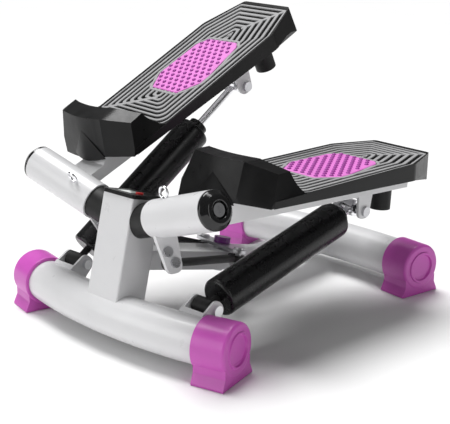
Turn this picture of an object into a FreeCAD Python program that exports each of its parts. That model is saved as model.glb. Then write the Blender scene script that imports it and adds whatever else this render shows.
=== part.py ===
"""Mini twist stepper: two pedals on V-set pivot axles, two dampers, a rocker link and a bowed steel base.

Frame: origin on the floor under the centre of the overall box at rest, +X to the low pedal's side,
+Y to the rear, +Z up. The shapes are laid out about the machine's centre plane, then shifted home.
The rest pose has the right pedal low and the left pedal raised.
"""
import FreeCAD, Part
import math
import os
from collections import namedtuple

import Sketcher
from FreeCAD import Matrix, Placement, Rotation, Vector

DOC = FreeCAD.newDocument("stepper")
SHEET = DOC.addObject("Spreadsheet::Sheet", "Sizes")
NODES = []

DIMENSIONS = [
    ("tube_radius", 26.5, "foot tube, outside radius"),
    ("tube_wall", 2.0, "wall of every round tube"),
    ("axis_height", 37.35, "foot tube axis above the floor"),
    ("front_span", 181.0, "half width to the front caps' outer faces"),
    ("front_reach", 181.0, "front caps' outer faces ahead of the centre"),
    ("front_turn", 13.0, "angle of the front tube's ends, degrees"),
    ("rear_span", 175.0, "half width to the rear caps' outer faces"),
    ("rear_reach", 179.5, "rear caps' outer faces behind the centre"),
    ("rear_turn", 11.0, "angle of the rear tube's ends, degrees"),
    ("straight_end", 32.0, "straight length at each end of a foot tube"),
    ("cap_radius", 30.6, "foot cap barrel"),
    ("cap_length", 43.2, "foot cap along the tube"),
    ("cap_floor", 13.0, "plastic between a tube end and the cap's outer face"),
    ("socket_gap", 0.15, "cap socket over the tube, radius"),
    ("foot_reach", 31.4, "half depth of a cap's foot on the floor"),
    ("foot_waist", 26.3, "half depth of a cap's foot at its waist"),
    ("post_width", 52.0, "post across the machine"),
    ("post_depth", 45.0, "post front to back, square to its length"),
    ("post_wall", 2.5, "post wall"),
    ("post_lean", 14.4, "post leans back, degrees"),
    ("post_top", 114.5, "post length above its datum"),
    ("spine_width", 50.0, "spine tube across the machine"),
    ("spine_height", 23.0, "spine tube height"),
    ("spine_slope", 14.15, "spine falls to the rear, degrees"),
    ("axle_radius", 8.0, "pivot axle"),
    ("axle_end", 156.0, "pivot axle's outer end from the pivot centre"),
    ("axle_rise", 17.53, "pivot axles rise outward, degrees"),
    ("axle_sweep", 5.21, "pivot axles sweep forward outward, degrees"),
    ("running_gap", 0.05, "radial clearance of a running fit"),
    ("pivot_radius", 22.25, "pivot tube, outside radius"),
    ("pivot_inner", 55.3, "pivot tube's inner end from the pivot centre"),
    ("pivot_outer", 158.4, "pivot tube's outer end from the pivot centre"),
    ("pedal_raise", 30.0, "left pedal above the right at rest, degrees"),
    ("pedal_width", 69.2, "pedal half width"),
    ("pedal_rear", 44.3, "pedal half width at the rear edge"),
    ("pedal_straight", 211.7, "length of a pedal's parallel sides"),
    ("pedal_length", 272.5, "pedal from the toe line to the rear edge"),
    ("shell_wall", 3.0, "pedal shell wall"),
    ("tread_thickness", 2.5, "tread mat"),
    ("guard_top", 37.0, "toe guard's highest edge above the tread"),
    ("arm_width", 43.0, "pedal arm across"),
    ("arm_height", 28.0, "pedal arm height"),
    ("arm_nose", 14.0, "pedal arm height ahead of the toe guard"),
    ("arm_bottom", 34.7, "pedal arm's underside below the tread at the toe line"),
    ("arm_fall", 3.12, "pedal arm falls to the rear of the tread, degrees"),
    ("clevis_rear", 176.4, "upper damper pin behind the toe line"),
    ("clevis_drop", 64.8, "upper damper pin below the tread"),
    ("pin_radius", 4.0, "damper pins and link studs"),
    ("collar_radius", 6.9, "ball collar on a lower damper pin"),
    ("bracket_half", 17.5, "lower damper bracket, half width"),
    ("damper_radius", 23.0, "damper barrel"),
    ("damper_start", 20.0, "barrel's lower end from the lower pin"),
    ("damper_end", 235.0, "barrel's upper end from the lower pin"),
    ("rod_radius", 5.0, "damper rod"),
    ("rod_eye_bore", 6.6, "open eye at the upper damper pin"),
    ("rocker_reach", 42.0, "rocker centre to each stud"),
    ("rocker_turn", 14.945, "rocker turned from square at rest, degrees"),
    ("link_radius", 5.0, "link rod"),
    ("link_eye_bore", 7.9, "open eye over the rocker stud"),
    ("home_x", -1.685, "shift that centres the overall box on the origin, X"),
    ("home_y", 2.922, "shift that centres the overall box on the origin, Y"),
]


# ---------------------------------------------------------------- sheet and frames

def fill_sheet():
    for row, (alias, value, meaning) in enumerate(DIMENSIONS, start=1):
        SHEET.set(f"A{row}", meaning)
        SHEET.set(f"B{row}", str(value))
        SHEET.setAlias(f"B{row}", alias)
    DOC.recompute()


def dim(alias):
    return float(getattr(SHEET, alias))


def bind(item, prop, value):
    """A text value is an expression on the sheet's names, and a number is set as it is."""
    if isinstance(value, str):
        words = value.replace("(", " ( ").replace(")", " ) ").split()
        names = {alias for alias, _, _ in DIMENSIONS}
        item.setExpression(prop, " ".join(f"Sizes.{word}" if word in names else word for word in words))
    else:
        setattr(item, prop, value)


def frame(origin, across, rearward):
    """Placement whose x axis is `across` and whose y axis is `rearward` made square to it."""
    x_axis = Vector(across).normalize()
    z_axis = x_axis.cross(rearward).normalize()
    y_axis = z_axis.cross(x_axis)
    return Placement(Matrix(
        x_axis.x, y_axis.x, z_axis.x, origin.x,
        x_axis.y, y_axis.y, z_axis.y, origin.y,
        x_axis.z, y_axis.z, z_axis.z, origin.z,
        0, 0, 0, 1))


def mirrored(place):
    """The left-hand twin of a right-hand placement, for shapes built with their own x turned over."""
    grid = place.toMatrix()
    return Placement(Matrix(
        grid.A11, -grid.A12, -grid.A13, -grid.A14,
        -grid.A21, grid.A22, grid.A23, grid.A24,
        -grid.A31, grid.A32, grid.A33, grid.A34,
        0, 0, 0, 1))


def turned(place, centre, axis, degrees):
    return Placement(Vector(), Rotation(axis, degrees), centre).multiply(place)


# ---------------------------------------------------------------- building blocks

def cylinder(name, radius, start, end, axis="z", at=(0, 0, 0)):
    """Cylinder along a local axis, from `start` to `end` on it."""
    directions = {"x": Vector(1, 0, 0), "y": Vector(0, 1, 0), "z": Vector(0, 0, 1)}
    low, high = min(start, end), max(start, end)
    item = DOC.addObject("Part::Cylinder", name)
    bind(item, "Radius", radius)
    item.Height = high - low
    base = Vector(*at) + directions[axis] * low
    item.Placement = Placement(base, Rotation(Vector(0, 0, 1), directions[axis]))
    return item


def block(name, x_range, y_range, z_range):
    item = DOC.addObject("Part::Box", name)
    item.Length = x_range[1] - x_range[0]
    item.Width = y_range[1] - y_range[0]
    item.Height = z_range[1] - z_range[0]
    item.Placement = Placement(Vector(x_range[0], y_range[0], z_range[0]), Rotation())
    return item


def fuse(name, *items):
    item = DOC.addObject("Part::MultiFuse", name)
    item.Shapes = list(items)
    return item


def cut(name, base, *tools):
    item = DOC.addObject("Part::Cut", name)
    item.Base = base
    item.Tool = tools[0] if len(tools) == 1 else fuse(name + "_tools", *tools)
    return item


def group(name, *items):
    """Several separate pieces kept in one node."""
    item = DOC.addObject("Part::Compound", name)
    item.Links = list(items)
    return item


def body_named(name):
    return DOC.addObject("PartDesign::Body", name)


def origin_plane(body, role):
    return next(item for item in body.Origin.OriginFeatures if item.Role == role)


def sketch_on(body, role, offset=0.0):
    sketch = body.newObject("Sketcher::SketchObject", body.Name + "_sketch")
    sketch.AttachmentSupport = (origin_plane(body, role), [""])
    sketch.MapMode = "FlatFace"
    sketch.AttachmentOffset = Placement(Vector(0, 0, offset), Rotation())
    return sketch


def add_circle(sketch, radius, x=0.0, y=0.0):
    """Circle whose radius is constrained, to the sheet when it is given as text."""
    start = dim(radius) if isinstance(radius, str) and " " not in radius else radius
    start = start if isinstance(start, float) else 10.0
    index = sketch.addGeometry(Part.Circle(Vector(x, y, 0), Vector(0, 0, 1), start), False)
    constraint = sketch.addConstraint(Sketcher.Constraint("Radius", index, start))
    if isinstance(radius, str):
        bind(sketch, f"Constraints[{constraint}]", radius)


def add_outline(sketch, points):
    """Closed outline through (x, y) or (x, y, corner radius) points."""
    count = len(points)
    corners = []
    for index, point in enumerate(points):
        here = Vector(point[0], point[1], 0)
        radius = point[2] if len(point) > 2 else 0.0
        back = (Vector(*points[index - 1][:2], 0) - here).normalize()
        ahead = (Vector(*points[(index + 1) % count][:2], 0) - here).normalize()
        if radius == 0.0:
            corners.append((here, here, None))
            continue
        half = math.acos(max(-1.0, min(1.0, back.dot(ahead)))) / 2
        reach = radius / math.tan(half)
        middle = here + (back + ahead).normalize() * (radius / math.sin(half) - radius)
        corners.append((here + back * reach, here + ahead * reach, middle))
    for index, (enter, leave, middle) in enumerate(corners):
        if middle is not None:
            sketch.addGeometry(Part.Arc(enter, middle, leave), False)
        following = corners[(index + 1) % count][0]
        if (following - leave).Length > 1e-6:
            sketch.addGeometry(Part.LineSegment(leave, following), False)


def pad(body, sketch, length, symmetric=False, backward=False):
    feature = body.newObject("PartDesign::Pad", body.Name + "_pad")
    feature.Profile = sketch
    bind(feature, "Length", length)
    if symmetric:
        feature.SideType = "Symmetric"
    feature.Reversed = backward
    return feature


def pocket(body, sketch, length=None, symmetric=False, backward=False):
    """Cut that removes material: a pocket that misses its body is an error."""
    DOC.recompute()
    before = body.Shape.Volume
    feature = body.newObject("PartDesign::Pocket", body.Name + "_pocket")
    feature.Profile = sketch
    if length is None:
        feature.Type = "ThroughAll"
    else:
        bind(feature, "Length", length)
    if symmetric:
        feature.SideType = "Symmetric"
    feature.Reversed = backward
    DOC.recompute()
    if body.Shape.Volume > before - 1e-3:
        raise RuntimeError(f"{feature.Name} removed nothing")
    return feature


def carve(body, sections):
    """Cut between several parallel outlines, with straight sides from each to the next."""
    feature = body.newObject("PartDesign::SubtractiveLoft", body.Name + "_carve")
    feature.Profile = sections[0]
    feature.Sections = sections[1:]
    feature.Ruled = True


def prism(name, role, points, length, offset=0.0, symmetric=False, backward=False):
    """A body that is one padded outline."""
    body = body_named(name)
    sketch = sketch_on(body, role, offset)
    add_outline(sketch, points)
    pad(body, sketch, length, symmetric, backward)
    return body


def revolved(name, points):
    """A body turned about its own x axis from (x, radius) points."""
    body = body_named(name)
    sketch = sketch_on(body, "XZ_Plane")
    add_outline(sketch, points)
    feature = body.newObject("PartDesign::Revolution", name + "_revolution")
    feature.Profile = sketch
    feature.ReferenceAxis = (sketch, ["H_Axis"])
    feature.Angle = 360.0
    return body


def keep(item, node, place=Placement()):
    """Names a finished sub-part and puts it in its place."""
    home = Placement(Vector(dim("home_x"), dim("home_y"), 0), Rotation())
    item.Label = node
    item.Placement = home.multiply(place).multiply(item.Placement)
    NODES.append(item)
    return item


def tool(item, place=Placement()):
    """A shape that only trims others, at its own place."""
    item.Placement = place.multiply(item.Placement)
    return item


# ---------------------------------------------------------------- layout

fill_sheet()

LEAN = math.radians(dim("post_lean"))
POST_FOOT = Vector(0, -195.25, 60.0)
POST_PLACE = frame(POST_FOOT, Vector(1, 0, 0), Vector(0, math.cos(LEAN), -math.sin(LEAN)))
PIVOT = Vector(0, -172.4, 139.8)
RISE = math.radians(dim("axle_rise"))
SWEEP = math.radians(dim("axle_sweep"))
AXLE = Vector(math.cos(RISE) * math.cos(SWEEP), -math.cos(RISE) * math.sin(SWEEP), math.sin(RISE))
AXLE_PLACE = frame(PIVOT, AXLE, Vector(0, 1, 0))
PEDAL_PLACE = Placement(Vector(108.6, -78.6, 188.6), Rotation(-3.6, 1.4, 0.4))
ARM_FALL = math.radians(dim("arm_fall"))
ARM_TILT = Placement(Vector(0, 0, -dim("arm_bottom")), Rotation(Vector(1, 0, 0), -dim("arm_fall")))
ARM_PLACE = PEDAL_PLACE.multiply(ARM_TILT)
LEFT_AXLE = Vector(AXLE.x, -AXLE.y, -AXLE.z)
SIDES = (("right", 1), ("left", -1))

# Right lower damper pin, and the spine's upper end and rocker bolt along Y.
LOWER_PIN = Vector(113.9, -163.2, 63.6)
SPINE_TOP_Y, SPINE_TOP_Z = -190.0, 103.8
ROCKER_Y = -20.0

# Bolt holes in a lever plate: rearward and up from the pivot axis.
LEVER_HOLES = ((-3.0, -38.0), (4.0, -52.0))

# Offset of each open damper eye from its pin at rest: square to the damper, and along it.
DAMPER_SHIFT = {"right": (-0.53, 0.29), "left": (-0.27, 0.72)}

# Offset of each open link eye from its stud at rest.
LINK_SHIFT = {"right": (-2.24, -0.29, -0.23), "left": (-1.29, 0.41, 0.11)}


def static_place(place, hand):
    """Place of a fixed piece on either side."""
    return place if hand > 0 else mirrored(place)


def pedal_side_place(place, hand):
    """Place of a piece that swings with a pedal, at the rest pose."""
    if hand > 0:
        return place
    return turned(mirrored(place), PIVOT, LEFT_AXLE, dim("pedal_raise"))


# ---------------------------------------------------------------- base

def bow_middle(end):
    """Distance from a foot tube's middle to its end faces, measured along Y."""
    turn = math.radians(dim(end + "_turn"))
    radius = bow_radius(end)
    return radius * (1 - math.cos(turn)) + dim("straight_end") * math.sin(turn)


def bow_radius(end):
    turn = math.radians(dim(end + "_turn"))
    return (dim(end + "_span") - dim("straight_end") * math.cos(turn)) / math.sin(turn)


def bow_place(end):
    middle = dim(end + "_reach") + bow_middle(end)
    if end == "front":
        return Placement(Vector(0, -middle, dim("axis_height")), Rotation())
    return Placement(Vector(0, middle, dim("axis_height")), Rotation(Vector(0, 0, 1), 180))


def front_axis_y(across):
    """Y of the front tube's axis at a distance from the centre line."""
    radius = bow_radius("front")
    return -dim("front_reach") - bow_middle("front") + radius - math.sqrt(radius ** 2 - across ** 2)


def bowed_tube(name, end, hollow=True):
    """Half a tube swept from the middle along an arc and a straight end, then mirrored."""
    turn = math.radians(dim(end + "_turn"))
    radius = bow_radius(end)
    tail = dim("straight_end") - dim("cap_floor")
    body = body_named(name)
    path = sketch_on(body, "XY_Plane")
    start = Vector(0, 0, 0)
    middle = Vector(radius * math.sin(turn / 2), radius * (1 - math.cos(turn / 2)), 0)
    bend = Vector(radius * math.sin(turn), radius * (1 - math.cos(turn)), 0)
    tip = bend + Vector(math.cos(turn), math.sin(turn), 0) * tail
    path.addGeometry(Part.Arc(start, middle, bend), False)
    path.addGeometry(Part.LineSegment(bend, tip), False)
    section = sketch_on(body, "YZ_Plane")
    add_circle(section, "tube_radius")
    if hollow:
        add_circle(section, "tube_radius - tube_wall")
    sweep = body.newObject("PartDesign::AdditivePipe", name + "_sweep")
    sweep.Profile = section
    sweep.Spine = (path, [])
    DOC.recompute()
    mirror = body.newObject("PartDesign::Mirrored", name + "_mirror")
    mirror.Originals = [sweep]
    mirror.MirrorPlane = (origin_plane(body, "YZ_Plane"), [""])
    body.Tip = mirror
    DOC.recompute()
    return body


def foot_cap(node, end, hand):
    """Plastic cap: a turned socket with a raised ring, on a flared foot."""
    outer = dim("cap_radius")
    length = dim("cap_length")
    bore = dim("tube_radius") + dim("socket_gap")
    depth = dim("cap_floor")
    ground = -dim("axis_height")
    body = revolved(node + "_body", [
        (-length, bore), (-length, outer, 1.5), (0, outer, 4.0), (0, 21.0), (1.6, 20.0), (1.6, 18.0),
        (-1.0, 16.8), (-1.0, 0), (-depth, 0), (-depth, bore)])
    foot = sketch_on(body, "YZ_Plane", -0.6)
    reach = dim("foot_reach")
    waist = dim("foot_waist")
    add_outline(foot, [
        (-reach, ground), (reach, ground), (reach, ground + 2.0), (waist, ground + 13.0, 4.0),
        (waist, -14.0), (-waist, -14.0), (-waist, ground + 13.0, 4.0), (-reach, ground + 2.0)])
    pad(body, foot, "cap_length - 2.5", backward=True)
    socket = sketch_on(body, "YZ_Plane", -depth)
    add_circle(socket, bore)
    pocket(body, socket, "cap_length")
    turn = dim(end + "_turn")
    ahead = -1 if end == "front" else 1
    yaw = -ahead * hand * turn + (0 if hand > 0 else 180)
    centre = Vector(hand * dim(end + "_span"), ahead * dim(end + "_reach"), dim("axis_height"))
    keep(body, node, Placement(centre, Rotation(Vector(0, 0, 1), yaw)))


def spine_tube(front_envelope, rear_envelope, post_envelope):
    """Rectangular tube that falls from the post and levels out into the rear tube."""
    slope = math.radians(dim("spine_slope"))
    half = dim("spine_height") / 2
    level = dim("axis_height") + 1.0
    top_y, top_z = SPINE_TOP_Y, SPINE_TOP_Z
    bend_y = top_y + (top_z - level) / math.tan(slope)
    rear_y = dim("rear_reach") + bow_middle("rear")
    lift = half / math.cos(slope)
    shift = half * math.tan(slope / 2)
    outer = prism("spine_outer", "YZ_Plane", [
        (top_y, top_z + lift), (bend_y + shift, level + half, 60.0), (rear_y, level + half),
        (rear_y, level - half), (bend_y - shift, level - half, 60.0), (top_y, top_z - lift)],
        "spine_width", symmetric=True)
    wall = dim("tube_wall")
    inner_lift = (half - wall) / math.cos(slope)
    inner_shift = (half - wall) * math.tan(slope / 2)
    inner = prism("spine_inner", "YZ_Plane", [
        (top_y, top_z + inner_lift), (bend_y + inner_shift, level + half - wall, 60.0),
        (rear_y, level + half - wall), (rear_y, level - half + wall),
        (bend_y - inner_shift, level - half + wall, 60.0), (top_y, top_z - inner_lift)],
        "spine_width - 2 * tube_wall", symmetric=True)
    bolt_hole = tool(cylinder("spine_bolt_hole", "pin_radius", -40, 20), rocker_place())
    keep(cut("spine_cut", outer, inner, bolt_hole, rear_envelope, post_envelope), "spine_tube")


def spine_top(y):
    """Height of the spine's sloping top face."""
    slope = math.radians(dim("spine_slope"))
    return SPINE_TOP_Z + dim("spine_height") / 2 / math.cos(slope) - math.tan(slope) * (y - SPINE_TOP_Y)


def rocker_place():
    """Frame on the spine's top face at the rocker bolt, z square to the face."""
    slope = math.radians(dim("spine_slope"))
    origin = Vector(0, ROCKER_Y, spine_top(ROCKER_Y))
    return frame(origin, Vector(1, 0, 0), Vector(0, math.cos(slope), -math.sin(slope)))


def post_block(name, inset=0.0):
    half_width = dim("post_width") / 2 - inset
    half_depth = dim("post_depth") / 2 - inset
    radius = 2.0 if inset == 0.0 else 1.0
    corners = [(-half_width, -half_depth, radius), (half_width, -half_depth, radius),
               (half_width, half_depth, radius), (-half_width, half_depth, radius)]
    return prism(name, "XY_Plane", corners, "post_top + 24" if inset == 0.0 else "post_top + 60",
                 offset=-24.0 if inset == 0.0 else -40.0)


def post_tube(front_envelope):
    """Leaning post, coped over the front tube and bored for the two axles."""
    outer = tool(post_block("post_outer"), POST_PLACE)
    inner = tool(post_block("post_inner", dim("post_wall")), POST_PLACE)
    bores = []
    for side, hand in SIDES:
        bore = cylinder(side + "_post_bore", "axle_radius", 0, hand * 60, "x")
        bores.append(tool(bore, static_place(AXLE_PLACE, hand)))
    keep(cut("post_cut", outer, inner, front_envelope, *bores), "post_tube")


def lower_pin_point(hand):
    return Vector(hand * LOWER_PIN.x, LOWER_PIN.y, LOWER_PIN.z)


def lower_bracket(side, hand, front_envelope):
    """U bracket on the front tube that holds the damper's lower pin."""
    base_y = front_axis_y(LOWER_PIN.x) - LOWER_PIN.y
    base_z = dim("axis_height") - LOWER_PIN.z
    angle = math.degrees(math.atan2(-base_z, -base_y))
    reach = math.hypot(base_y, base_z)
    half = dim("bracket_half")
    place = Placement(lower_pin_point(hand), Rotation(Vector(1, 0, 0), angle))
    parts = [block(side + "_bracket_web", (-half, half), (-reach + 8, -reach + 28.5), (-14, 14))]
    for name, offset in (("inner", -half), ("outer", half - 3.0)):
        parts.append(prism(f"{side}_bracket_{name}", "YZ_Plane", [
            (-reach + 8, -14), (-reach + 20, -14), (10, -10, 9.5), (10, 10, 9.5), (-reach + 20, 14),
            (-reach + 8, 14)], 3.0, offset=offset))
    shape = fuse(side + "_bracket_fuse", *parts)
    hole = cylinder(side + "_bracket_hole", "pin_radius", -30, 30, "x")
    placed = tool(cut(side + "_bracket_drilled", shape, hole), place)
    keep(cut(side + "_bracket_cut", placed, front_envelope), side + "_damper_bracket")


def lower_pins():
    """Screw with a ball collar, on which the damper's lower eye swivels."""
    shank = dim("pin_radius")
    half = dim("bracket_half")
    collar = dim("collar_radius")
    collar_half = math.sqrt(collar ** 2 - shank ** 2)
    pins = []
    for side, hand in SIDES:
        pin = revolved(side + "_lower_pin", [
            (-half - 5, 0), (-half - 5, 6.0), (-half, 6.0), (-half, shank), (-collar_half, shank),
            (0, collar ** 2 / shank, collar), (collar_half, shank), (half, shank), (half, 6.5),
            (half + 4, 6.5), (half + 4, 0)])
        turn = 0 if hand > 0 else 180
        pins.append(tool(pin, Placement(lower_pin_point(hand), Rotation(Vector(0, 0, 1), turn))))
    keep(group("lower_pin_group", *pins), "damper_lower_pins")


def axle(side, hand):
    """Steel axle welded through the post wall, drilled for the end screw."""
    shaft = cylinder(side + "_axle_shaft", "axle_radius", hand * 10, hand * dim("axle_end"), "x")
    thread = cylinder(side + "_axle_thread", "pin_radius", hand * 138, hand * 170, "x")
    keep(cut(side + "_axle_cut", shaft, thread), side + "_axle", static_place(AXLE_PLACE, hand))


def axle_collar(side, hand, post_envelope):
    """Black spacer between the post and the pivot tube."""
    outer = cylinder(side + "_collar_outer", 20.0, hand * 18, hand * (dim("pivot_inner") - 0.5), "x")
    bore = cylinder(side + "_collar_bore", "axle_radius", 0, hand * 80, "x")
    placed = tool(cut(side + "_collar_bored", outer, bore), static_place(AXLE_PLACE, hand))
    keep(cut(side + "_collar_cut", placed, post_envelope), side + "_axle_collar")


def axle_end_cap(side, hand):
    """Domed plastic cap over the open end of the pivot tube."""
    start = dim("pivot_outer") + 0.4
    rim = dim("pivot_radius") - 0.3
    body = revolved(side + "_end_cap", [
        (hand * (dim("axle_end")), 4.1), (hand * dim("axle_end"), 15.0), (hand * start, 15.0),
        (hand * start, rim), (hand * (start + 3), rim, 2.0), (hand * (start + 10), 15.5, 5.0),
        (hand * (start + 10), 10.0, 1.5), (hand * (start + 5), 9.0), (hand * (start + 5), 4.1)])
    keep(body, side + "_axle_end_cap", static_place(AXLE_PLACE, hand))


def axle_end_screws():
    screws = []
    for side, hand in SIDES:
        seat = hand * (dim("pivot_outer") + 5.4)
        shank = cylinder(side + "_end_shank", "pin_radius", hand * 140, seat, "x")
        head = cylinder(side + "_end_head", 7.5, seat, seat + hand * 3.2, "x")
        depth = sorted((seat + hand * 1.4, seat + hand * 5))
        level_slot = block(side + "_end_slot_level", depth, (-4, 4), (-0.8, 0.8))
        upright_slot = block(side + "_end_slot_upright", depth, (-0.8, 0.8), (-4, 4))
        screw = cut(side + "_end_screw", fuse(side + "_end_solid", shank, head), level_slot, upright_slot)
        screws.append(tool(screw, static_place(AXLE_PLACE, hand)))
    keep(group("end_screw_group", *screws), "axle_end_screws")


# ---------------------------------------------------------------- console

def console():
    """Display head on the post: tray, lens, panel, board, battery, button and step sensor."""
    top = dim("post_top")
    half_width = dim("post_width") / 2 + 1.2
    half_depth = dim("post_depth") / 2 + 1.2
    wall = dim("post_wall")
    rim = prism("console_rim", "XY_Plane", [
        (-half_width, -half_depth, 5), (half_width, -half_depth, 5), (half_width, half_depth, 5),
        (-half_width, half_depth, 5)], 4.5, offset=top)
    plug = prism("console_plug", "XY_Plane", [
        (-23.3, -19.8, 2), (23.3, -19.8, 2), (23.3, 19.8, 2), (-23.3, 19.8, 2)], 12.0, offset=top - 12.0)
    hollow = block("console_hollow", (-21.3, 21.3), (-17.8, 17.8), (top - 12.0, top + 2.5))
    window = block("console_window", (-19, 8), (-12, 12), (top, top + 10))
    button_hole = cylinder("console_button_hole", 4.6, top, top + 10, at=(15, -4, 0))
    housing = cut("console_cut", fuse("console_fuse", rim, plug), hollow, window, button_hole)
    keep(housing, "console_housing", POST_PLACE)
    keep(block("lens", (-18.9, 7.9), (-11.9, 11.9), (top + 2.4, top + 4.2)), "display_lens", POST_PLACE)
    keep(block("panel", (-18, 7), (-11, 11), (top + 0.6, top + 2.2)), "display_panel", POST_PLACE)
    keep(block("board", (-20.5, 20.5), (-17, 17), (top - 2.6, top - 1.0)), "circuit_board", POST_PLACE)
    keep(cylinder("cell", 5.2, -17, 17, "x", (0, 4, top - 8.5)), "battery", POST_PLACE)
    stem = cylinder("button_stem", 2.4, top + 0.6, top + 3.0, at=(15, -4, 0))
    head = cylinder("button_head", 4.5, top + 3.0, top + 6.3, at=(15, -4, 0))
    keep(fuse("button_body", stem, head), "mode_button", POST_PLACE)
    keep(block("sensor", (18.0, 23.4), (-4, 4), (46, 68)), "step_sensor", POST_PLACE)


# ---------------------------------------------------------------- pedals

def pivot_tube(side, hand):
    start, end = hand * dim("pivot_inner"), hand * dim("pivot_outer")
    outer = cylinder(side + "_pivot_outer", "pivot_radius", start, end, "x")
    inner = cylinder(side + "_pivot_inner", "pivot_radius - tube_wall", start - hand, end + hand, "x")
    place = pedal_side_place(AXLE_PLACE, hand)
    keep(cut(side + "_pivot_cut", outer, inner), side + "_pivot_tube", place)
    bushes = []
    for name, low, high in (("inner", 56.0, 78.0), ("outer", 133.0, 155.0)):
        ring = cylinder(f"{side}_{name}_bush_ring", "pivot_radius - tube_wall", hand * low,
                        hand * high, "x")
        bore = cylinder(f"{side}_{name}_bush_bore", "axle_radius + running_gap", hand * (low - 1),
                        hand * (high + 1), "x")
        bushes.append(cut(f"{side}_{name}_bush", ring, bore))
    keep(group(side + "_bush_group", *bushes), side + "_pivot_bushes", place)


def pivot_envelope(side, hand):
    item = cylinder(side + "_pivot_envelope", "pivot_radius", hand * dim("pivot_inner"),
                    hand * dim("pivot_outer"), "x")
    return tool(item, pedal_side_place(AXLE_PLACE, hand))


def lever_plate(side, hand, envelope):
    """Flat lever under the inner end of the pivot tube, with two bolt holes."""
    offset = 59.5 if hand > 0 else -64.5
    body = prism(side + "_lever_body", "YZ_Plane", [
        (-15, -12), (16, -6), (15, -30, 6), (13, -64, 9), (-7, -64, 9)], 5.0, offset=offset)
    holes = sketch_on(body, "YZ_Plane", offset + 2.5)
    for x, y in LEVER_HOLES:
        add_circle(holes, "pin_radius", x, y)
    pocket(body, holes, 20.0, symmetric=True)
    placed = tool(body, pedal_side_place(AXLE_PLACE, hand))
    keep(cut(side + "_lever_cut", placed, envelope), side + "_lever_plate")


def pedal_bolts(side, hand):
    """The pedal's three bolts with their nuts: two in the lever, one through the clevis."""
    swing = pedal_side_place(AXLE_PLACE, hand)
    bolts = []
    for name, (y, z), inner in (("short", LEVER_HOLES[0], 59.5), ("long", LEVER_HOLES[1], 49.5)):
        at = (0, y, z)
        shank = cylinder(f"{side}_{name}_shank", "pin_radius", hand * (inner - 3), hand * 64.5, "x", at)
        head = cylinder(f"{side}_{name}_head", 6.0, hand * 64.5, hand * 67.5, "x", at)
        nut = cylinder(f"{side}_{name}_nut", 6.0, hand * (inner - 3), hand * inner, "x", at)
        spacer = cylinder(f"{side}_{name}_spacer", 5.6, hand * 58.5, hand * 59.5, "x", at)
        bolts.append(tool(fuse(f"{side}_{name}_bolt", shank, head, nut, spacer), swing))
    at = (0, dim("clevis_rear"), -dim("clevis_drop"))
    shank = cylinder(side + "_clevis_shank", "pin_radius", -25, 21, "x", at)
    head = cylinder(side + "_clevis_head", 6.5, hand * 21, hand * 25, "x", at)
    nut = cylinder(side + "_clevis_nut", 6.5, hand * -26, hand * -21, "x", at)
    bolts.append(tool(fuse(side + "_clevis_screw", shank, head, nut), pedal_side_place(PEDAL_PLACE, hand)))
    keep(group(side + "_bolt_group", *bolts), side + "_pedal_bolts")


def strap_eyelet(side, hand, envelope):
    """Wire ring welded on the pivot tube for a resistance band."""
    ring = DOC.addObject("Part::Torus", side + "_eyelet_ring")
    ring.Radius1 = 6.6
    ring.Radius2 = 1.5
    centre = Vector(hand * 84, -4, dim("pivot_radius") + 5.6)
    ring.Placement = Placement(centre, Rotation(Vector(1, 0, 0), 90))
    placed = tool(ring, pedal_side_place(AXLE_PLACE, hand))
    keep(cut(side + "_eyelet_cut", placed, envelope), side + "_strap_eyelet")


def pedal_arm(side, hand, envelope):
    """Rectangular tube from the pivot tube to the rear of the pedal, lower ahead of the toe guard."""
    top = dim("arm_height")
    nose = dim("arm_nose")
    wall = dim("tube_wall")
    setback = wall * 0.45
    outer = prism(side + "_arm_outer", "YZ_Plane", [
        (-103, 0), (262, 0), (262, top), (-50, top), (-62, nose), (-103, nose)],
        "arm_width", symmetric=True)
    inner = prism(side + "_arm_inner", "YZ_Plane", [
        (-110, wall), (259, wall), (259, top - wall), (setback - 50, top - wall),
        (setback - 62, nose - wall), (-110, nose - wall)], "arm_width - 2 * tube_wall", symmetric=True)
    placed = tool(cut(side + "_arm_shell", outer, inner), pedal_side_place(ARM_PLACE, hand))
    keep(cut(side + "_arm_cut", placed, envelope), side + "_pedal_arm")


def outline_points(inset=0.0, front=-62.0):
    """Plan outline of the pedal, drawn in by `inset`."""
    wide = dim("pedal_width") - inset
    narrow = dim("pedal_rear") - inset * 0.7
    bend = dim("pedal_straight") - inset * 0.35
    rear = dim("pedal_length") - inset
    return [(-wide, front), (wide, front), (wide, bend, 6), (narrow, rear, 4), (-narrow, rear, 4),
            (-wide, bend, 6)]


# Toe guard sections: place across, front and rear of the top edge, its height, front at the foot.
Section = namedtuple("Section", "across front rear top foot")
GUARD = (
    Section(-80.0, -42.0, -20.0, 37.0, -55.0),
    Section(-20.0, -45.0, -20.0, 37.0, -60.0),
    Section(24.0, -39.0, -14.5, 37.0, -57.0),
    Section(80.0, -10.6, 5.0, 21.2, -36.0),
)
GUARD_FOOT = -8.0


def section_stack(body, sections, outline):
    """One outline for each toe guard section, on planes across the pedal."""
    sketches = []
    for section in sections:
        sketch = sketch_on(body, "YZ_Plane", section.across)
        add_outline(sketch, outline(section))
        sketches.append(sketch)
    return sketches


def guard_section(across):
    """Toe guard section at any place between the listed ones."""
    for low, high in zip(GUARD, GUARD[1:]):
        if low.across <= across <= high.across:
            share = (across - low.across) / (high.across - low.across)
            return Section(*(a + (b - a) * share for a, b in zip(low, high)))
    raise ValueError(f"no toe guard at {across}")


def above_pedal(section):
    """What is cut away over the tread and the toe guard."""
    deck = -dim("tread_thickness")
    end = dim("pedal_length")
    return [(end + 20, 60), (end + 20, 0.6), (end - 9, 0.6), (end - 15, deck), (12, deck),
            (section.rear, section.top), (-100, section.top), (-100, 60)]


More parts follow.
